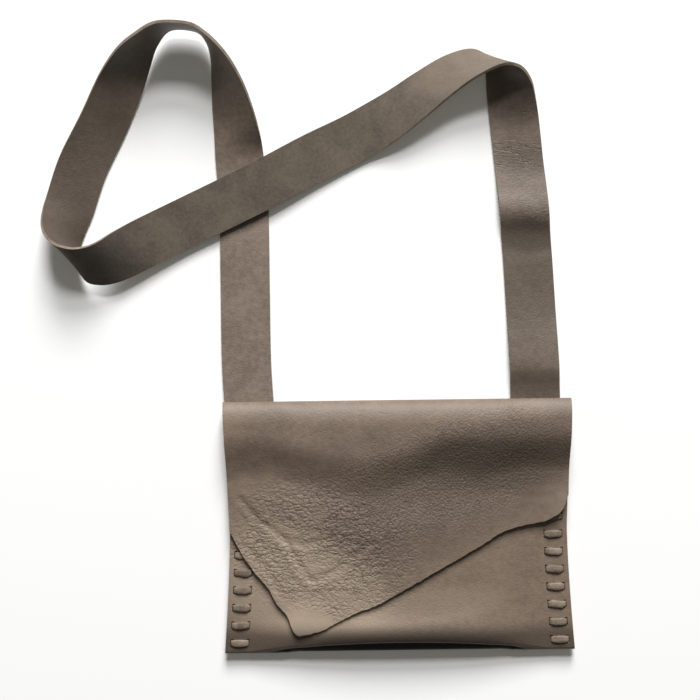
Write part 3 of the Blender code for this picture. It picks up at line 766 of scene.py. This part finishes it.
def strapRings():
    route = strap["route"]
    roots = (route[0][0], route[-1][0])
    drift = [strapEndX(side, bag["mouthY"]) - side * strap["routeRoot"] for side in (-1, 1)]
    middles, across = [], []
    for x, y, lift, direction in route:
        way = Vector(direction).normalized()
        tilt = abs(way.z)
        height = lift + strap["width"] / 2 * tilt + hide / 2 * math.sqrt(1 - tilt**2)
        shift = mix(drift[0], drift[1], (x - roots[0]) / (roots[1] - roots[0]))
        middles.append(Vector((x + shift, y + bag["foldY"], height)))
        across.append(way)
    free = []
    for k in range(len(middles) - 1):
        steps = max(2, math.ceil((middles[k + 1] - middles[k]).length / strap["step"]))
        for n in range(steps):
            place = k + n / steps
            middle, way = routePoint(middles, place), routePoint(across, place).normalized()
            reach = strap["width"] / 2 * abs(way.z) + hide / 2 * math.sqrt(1 - min(1, way.z**2))
            middle.z = max(middle.z, reach + 0.0002)
            free.append((middle, way))
    free.append((middles[-1], across[-1]))

    def lacedEnd(side):
        ys = [strap["endY"]] + slitRows()
        return [(Vector((strapEndX(side, y), y, strapLow)), Vector((side, 0, 0))) for y in ys]

    return lacedEnd(-1) + free + list(reversed(lacedEnd(1)))


def makeStrap():
    half = strap["width"] / 2
    rings = strapRings()
    slits = [strap["inset"] - inset for inset in reversed(slitInsets)]
    count, between = strap["columns"], strap["columnsBetweenSlits"]
    offsets = [mix(-half, slits[0], k / count) for k in range(count)] + slits[:2]
    offsets += [mix(slits[1], slits[2], k / between) for k in range(1, between + 1)] + [slits[3], half]
    first = offsets.index(slits[0])
    cutColumns = {first, offsets.index(slits[2])}
    lengths = [0.0]
    for (a, _), (b, _) in zip(rings, rings[1:]):
        lengths.append(lengths[-1] + (b - a).length)
    firstRows = {1 + 2 * k for k in range(lacing["stitches"])}
    cutRows = firstRows | {len(rings) - 2 - row for row in firstRows}
    print(f"Strap: {lengths[-1]:.3f} m long")

    def place(i, j):
        middle, across = rings[j]
        return middle + across * offsets[i]

    def flat(i, j):
        return (offsets[i], lengths[j])

    look = strapLook
    flesh = fleshSide("strapFlesh", look["fleshLight"], look["fleshDark"], look["fleshLightAndShade"])
    piece = sheetPiece(
        "shoulderStrap", len(offsets) - 1, len(rings) - 1, place, flat,
        lambda i, j: i in cutColumns and j in cutRows, hide,
        [strapLeather(), flesh, rawEdge("strapEdge", look["edge"])],
    )
    return piece, lengths[-1]


def lacePath(side):
    # (middle, half width) along the thong, each stitch a little different
    thick = lacing["thongThick"]
    bend = thick * 0.85  # radius of the thong's middle where it turns down a slit
    half = lacing["thongWide"] / 2
    path = []

    def turn(x, y, z, start, end):
        for k in range(5):
            a = math.radians(mix(start, end, k / 4))
            spot = Vector((x + side * bend * math.cos(a), y, z + bend * math.sin(a)))
            path.append((spot, half * lacing["inSlit"]))

    for i in range(lacing["stitches"]):
        y = stitchY(i)
        middle = sideAt(y) - lacing["inset"]
        outer, inner = side * (middle + lacing["bar"] / 2), side * (middle - lacing["bar"] / 2)
        if i == 0:
            path.append((Vector((outer - side * lacing["tail"], y, thongLow)), half))
        turn(outer - side * bend, y, thongLow + bend, -90, 0)
        turn(outer - side * bend, y, thongHigh - bend, 0, 90)
        lean = lacing["lean"] * ripple(i * 1.7, side, 1.0, 3.0)
        for t in (0.22, 0.34, 0.5, 0.66, 0.78):
            arch = 4 * t * (1 - t)
            uneven = lacing["uneven"] * ripple(i * 2.3 + t * 2, side, 1.0, 6.0)
            wide = half * (lacing["onBar"] + lacing["swell"] * arch + uneven)
            high = thongHigh + lacing["arch"] * arch
            path.append((Vector((mix(outer, inner, t), y + lean * (1 - 2 * t) * 2, high)), wide))
        turn(inner + side * bend, y, thongHigh - bend, 90, 180)
        turn(inner + side * bend, y, thongLow + bend, 180, 270)
        if i == lacing["stitches"] - 1:
            path.append((Vector((inner + side * lacing["tail"], y, thongLow)), half))
    return path


def makeLace(name, side):
    path = lacePath(side)
    across = 8

    def place(i, j):
        middle, half = path[j]
        share = i / across * 2 - 1
        sag = lacing["sag"] * smooth(middle.z, thongLow, thongHigh)  # only the bars are domed
        return middle + Vector((0, share * half, -sag * share**4))

    def flat(i, j):
        return (i / across * lacing["thongWide"], j * 0.001)

    grain = laceLeather(name + "Grain")
    flesh = fleshSide(name + "Flesh", **fleshLook)
    return sheetPiece(
        name, across, len(path) - 1, place, flat, lambda i, j: False,
        lacing["thongThick"], [grain, flesh, rawEdge(name + "Edge")], turned=side < 0,
    )


# Table, light and camera

studio = {
    "table": (0.97, 0.97, 0.97), "seenGlow": (1.0, 0.99, 0.84), "seenGlowStrength": 0.05,
    "sky": (1.0, 0.985, 0.90, 1), "skyStrength": 0.11, "aim": (0.0, 0.08, 0.0),
    # name, rise and swing in degrees, distance, size, share of white
    "windows": (
        ("lowWindow", 30, 4, 6.0, (2.4, 1.9), 0.57), ("highWindow", 47, 4, 5.0, (1.5, 0.75), 0.35),
    ),
    "lens": 72, "sensor": 36, "cameraAt": (-0.0326, 0.1262, 1.0), "cameraTurn": -0.75,
}  # fmt: skip


def addWindow(name, rise, swing, distance, size, share):
    # share is how brightly it alone would light a white table, 1 being white
    light = bpy.data.lights.new(name, "AREA")
    light.shape, light.size, light.size_y = "RECTANGLE", *size
    rise, swing = math.radians(rise), math.radians(swing)
    light.energy = share * (math.pi * distance) ** 2 / math.sin(rise)
    lamp = bpy.data.objects.new(name, light)
    way = Vector((math.sin(swing) * math.cos(rise), math.cos(swing) * math.cos(rise), math.sin(rise)))
    lamp.location = Vector(studio["aim"]) + way * distance
    lamp.rotation_euler = (-way).to_track_quat("-Z", "Y").to_euler()
    bpy.context.scene.collection.objects.link(lamp)


def makeStage():
    shape = bmesh.new()
    bmesh.ops.create_grid(shape, x_segments=1, y_segments=1, size=4)
    mesh = bpy.data.meshes.new("table")
    shape.to_mesh(mesh)
    shape.free()
    table = bpy.data.objects.new("table", mesh)
    bpy.context.scene.collection.objects.link(table)
    g = Graph("tableWhite")
    g.put(g.shader.inputs["Base Color"], studio["table"])
    g.put(g.shader.inputs["Roughness"], 0.9)
    g.put(g.shader.inputs["Specular IOR Level"], 0.0)
    seen = g.node("LightPath", out="Is Camera Ray")
    g.put(g.shader.inputs["Emission Color"], studio["seenGlow"])
    g.put(g.shader.inputs["Emission Strength"], seen * studio["seenGlowStrength"])
    mesh.materials.append(g.material)

    world = bpy.data.worlds.new("studio")
    bpy.context.scene.world = world
    world.use_nodes = True
    sky = world.node_tree.nodes["Background"].inputs
    sky["Color"].default_value = studio["sky"]
    sky["Strength"].default_value = studio["skyStrength"]
    for window in studio["windows"]:
        addWindow(*window)

    seat = bpy.data.cameras.new("camera")
    seat.lens, seat.sensor_width = studio["lens"], studio["sensor"]
    camera = bpy.data.objects.new("camera", seat)
    camera.location = studio["cameraAt"]
    camera.rotation_euler = (0, 0, math.radians(studio["cameraTurn"]))
    bpy.context.scene.collection.objects.link(camera)
    bpy.context.scene.camera = camera
    bpy.context.scene.view_settings.view_transform = "Standard"


makeStage()
print("Stage: table, window light, camera")
body = makeBag()
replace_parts(body, "bag_body")
print("Bag: front, bottom, back and flap in one hide")
band, bandLength = makeStrap()
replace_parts(band, "shoulder_strap")
print("Strap: laid out in its loop")
for name, side, node in (("laceLeft", -1, "lace_left"), ("laceRight", 1, "lace_right")):
    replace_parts(makeLace(name, side), node)
print("Laces: one thong a side")
